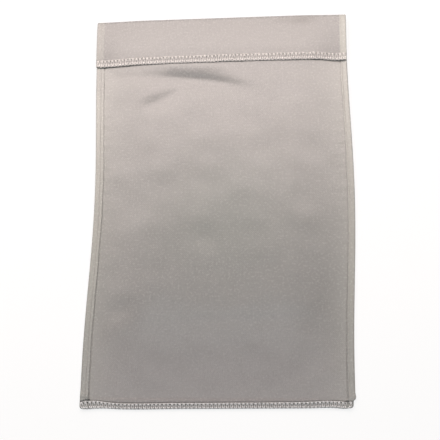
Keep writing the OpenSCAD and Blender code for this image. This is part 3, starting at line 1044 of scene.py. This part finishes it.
def hooks_on(name, low, high, ground_z, height):
    """Rows of small bent hooks that all lean along the tape, alternate rows opposite ways."""
    places, draw = tape_field(low, high, SELVEDGE + 0.6, HOOK_PITCH, HOOK_ROW_PITCH, 51)
    paths = []
    for k, (x, y) in enumerate(places):
        way = 1 if int(round((y - low[1] + BOTTOM_Y) / HOOK_ROW_PITCH)) % 2 else -1
        h = height * (1 + draw.normal(0, 0.03))
        lean = draw.normal(0, 0.05)
        shape = ((-0.32, -0.1), (-0.30, 0.45), (-0.12, 0.9), (0.14, 0.92), (0.30, 0.55))
        z = ground_z - float(hook_sink(x, y))
        paths.append([(x + way * a * 1.1, y + lean * b, z + h * b) for a, b in shape])
    thing = tubes_object(name, paths, HOOK_R, HOOKS, sides=4)
    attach(thing, "bag")


def loops_on(name, low, high, ground_z, height):
    """A brushed field of small loops that hang from the tape under the flap."""
    places, draw = tape_field(low, high, SELVEDGE + 0.4, LOOP_PITCH, LOOP_ROW_PITCH, 52)
    paths = []
    for x, y in places:
        turn = draw.uniform(0, math.tau)
        wide = draw.uniform(0.3, 0.62)
        h = height * draw.uniform(0.6, 1.0)
        tilt = draw.uniform(-0.35, 0.35)
        cx, cy = math.cos(turn), math.sin(turn)
        z = ground_z - float(flap_drop(x, y))
        path = []
        for a, b in ((-0.55, 0.1), (-1, -0.5), (-0.4, -1), (0.45, -0.95), (1, -0.45), (0.5, 0.1)):
            path.append((x + cx * a * wide - cy * tilt * b, y + cy * a * wide + cx * tilt * b,
                         z + h * b))
        paths.append(path)
    thing = tubes_object(name, paths, LOOP_R, LOOPS, sides=3)
    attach(thing, "flap")


def tape_rows(low, high, z, sign, sink):
    """Paths of the stitches all round a tape, in its bare edge."""
    def place(x, y, h):
        return x, y, z - float(sink(x, y)) + sign * h

    inset = SELVEDGE / 2
    x0, x1 = low[0] - MID_X + inset, high[0] - MID_X - inset
    y0, y1 = low[1] - BOTTOM_Y + inset, high[1] - BOTTOM_Y - inset
    paths = []
    for y in (y0, y1):
        paths.append(straight_row(lambda t, h, y=y: place(t, y, h), x0, x1, dive=0.25))
    for x in (x0, x1):
        paths.append(straight_row(lambda t, h, x=x: place(x, t, h), y0, y1, dive=0.25))
    return [catmull(p, 2) for p in paths]


def tapes():
    ground = tape_ground("hook_tape_ground", HOOK_LOW, HOOK_HIGH, HOOK_Z,
                         HOOK_Z + TAPE_GROUND_T, hook_sink, HOOK_GROUND)
    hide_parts("hook_tape")
    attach(ground, "bag")
    pile = HOOK_HIGH[2] - HOOK_Z - TAPE_GROUND_T
    hooks_on("hook_tape_hooks", HOOK_LOW, HOOK_HIGH, HOOK_Z + TAPE_GROUND_T, pile)
    row_object("hook_tape_needle_thread", "bag",
               tape_rows(HOOK_LOW, HOOK_HIGH, HOOK_Z + TAPE_GROUND_T, 1, hook_sink))
    row_object("hook_tape_bobbin_thread", "bag",
               tape_rows(HOOK_LOW, HOOK_HIGH, HOOK_Z - CLOTH_T, -1, hook_sink))
    ground = tape_ground("loop_tape_ground", LOOP_LOW, LOOP_HIGH, FLAP_Z - TAPE_GROUND_T,
                         FLAP_Z, flap_drop, LOOP_GROUND)
    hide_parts("loop_tape")
    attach(ground, "flap")
    loops_on("loop_tape_loops", LOOP_LOW, LOOP_HIGH, FLAP_Z - TAPE_GROUND_T,
             FLAP_Z - TAPE_GROUND_T - LOOP_LOW[2])


tapes()

# ---------------------------------------------------------------- floor, light and camera


FLOOR_HALF = 40.0
FLOOR_GLOW = 0.8
KEY_TINT = (1.0, 0.868, 0.816)
COOL_TINT = (0.98, 1.0, 1.0)
SKY_TINT = (0.94, 1.0, 1.02)
SKY_STRENGTH = 0.26
CAMERA_EYE = (0.06639, -0.20014, 0.67542)
CAMERA_TARGET = (-0.00007, -0.01342, 0.004)
CAMERA_ROLL = -19.63
CAMERA_LENS = 75.62


def floor():
    """A pale floor that looks white to the camera and still takes the bag's shadow."""
    mesh = bpy.data.meshes.new("floor")
    r = FLOOR_HALF
    mesh.from_pydata([(-r, -r, 0), (r, -r, 0), (r, r, 0), (-r, r, 0)], [], [(0, 1, 2, 3)])
    thing = bpy.data.objects.new("floor", mesh)
    bpy.context.scene.collection.objects.link(thing)
    n = Nodes("floor")
    grain = n.noise(n.node("ShaderNodeTexCoord").outputs["Object"], 60, 3.0)
    n.link(n.mix(grain, (0.97, 0.97, 0.97, 1), (1, 1, 1, 1)), n.shader.inputs["Base Color"])
    n.shader.inputs["Roughness"].default_value = 0.9
    n.shader.inputs["Specular IOR Level"].default_value = 0.0
    glow = n.node("ShaderNodeEmission")
    glow.inputs["Strength"].default_value = 1.0
    path = n.node("ShaderNodeLightPath")
    seen = n.math("ADD", path.outputs["Is Camera Ray"], path.outputs["Is Glossy Ray"])
    seen = n.math("ADD", seen, path.outputs["Is Transmission Ray"])
    seen = n.math("MINIMUM", seen, 1.0)
    blend = n.node("ShaderNodeMixShader")
    n.link(n.math("MULTIPLY", seen, FLOOR_GLOW), blend.inputs[0])
    n.link(n.shader.outputs[0], blend.inputs[1])
    n.link(glow.outputs[0], blend.inputs[2])
    n.link(blend.outputs[0], n.tree.nodes["Material Output"].inputs["Surface"])
    mesh.materials.append(n.material)


def look_at(thing, eye, target, roll=0.0):
    """Puts thing at eye, looking at target, turned by roll degrees about that line."""
    eye, target = np.array(eye, float), np.array(target, float)
    ahead = (target - eye) / np.linalg.norm(target - eye)
    right = np.cross(ahead, (0, 0, 1))
    right /= np.linalg.norm(right)
    up = np.cross(right, ahead)
    c, s = math.cos(math.radians(roll)), math.sin(math.radians(roll))
    right, up = c * right + s * up, c * up - s * right
    basis = Matrix([[right[i], up[i], -ahead[i], eye[i]] for i in range(3)] + [[0, 0, 0, 1]])
    thing.matrix_world = basis


def softbox(name, eye, target, width, height, power, color):
    """A rectangular lamp at eye, facing target. Sizes are in metres, power is in watts."""
    data = bpy.data.lights.new(name, "AREA")
    data.shape = "RECTANGLE"
    data.size, data.size_y = width, height
    data.energy = power
    data.color = color
    thing = bpy.data.objects.new(name, data)
    bpy.context.scene.collection.objects.link(thing)
    look_at(thing, eye, target)


def sky():
    """Even dim light from all round."""
    scene = bpy.context.scene
    scene.world = scene.world or bpy.data.worlds.new("studio")
    scene.world.use_nodes = True
    background = scene.world.node_tree.nodes["Background"]
    background.inputs["Color"].default_value = (*SKY_TINT, 1)
    background.inputs["Strength"].default_value = SKY_STRENGTH


def lamps():
    softbox("key_softbox", eye=(-0.2, 0.36, 0.485), target=(-0.2, 0.04, 0),
            width=1.4, height=0.36, power=6.35, color=KEY_TINT)
    softbox("back_softbox", eye=(0.0, 1.15, 0.40), target=(0, 0.1, 0),
            width=1.5, height=0.5, power=4.0, color=KEY_TINT)
    softbox("overhead_softbox", eye=(-0.09, -0.14, 0.93), target=(-0.09, -0.17, 0),
            width=0.9, height=0.11, power=1.05, color=COOL_TINT)


def camera():
    data = bpy.data.cameras.new("camera")
    data.lens = CAMERA_LENS
    data.sensor_width = 36
    thing = bpy.data.objects.new("camera", data)
    bpy.context.scene.collection.objects.link(thing)
    look_at(thing, CAMERA_EYE, CAMERA_TARGET, CAMERA_ROLL)
    bpy.context.scene.camera = thing


floor()
sky()
lamps()
camera()
bpy.context.scene.view_settings.view_transform = "Standard"
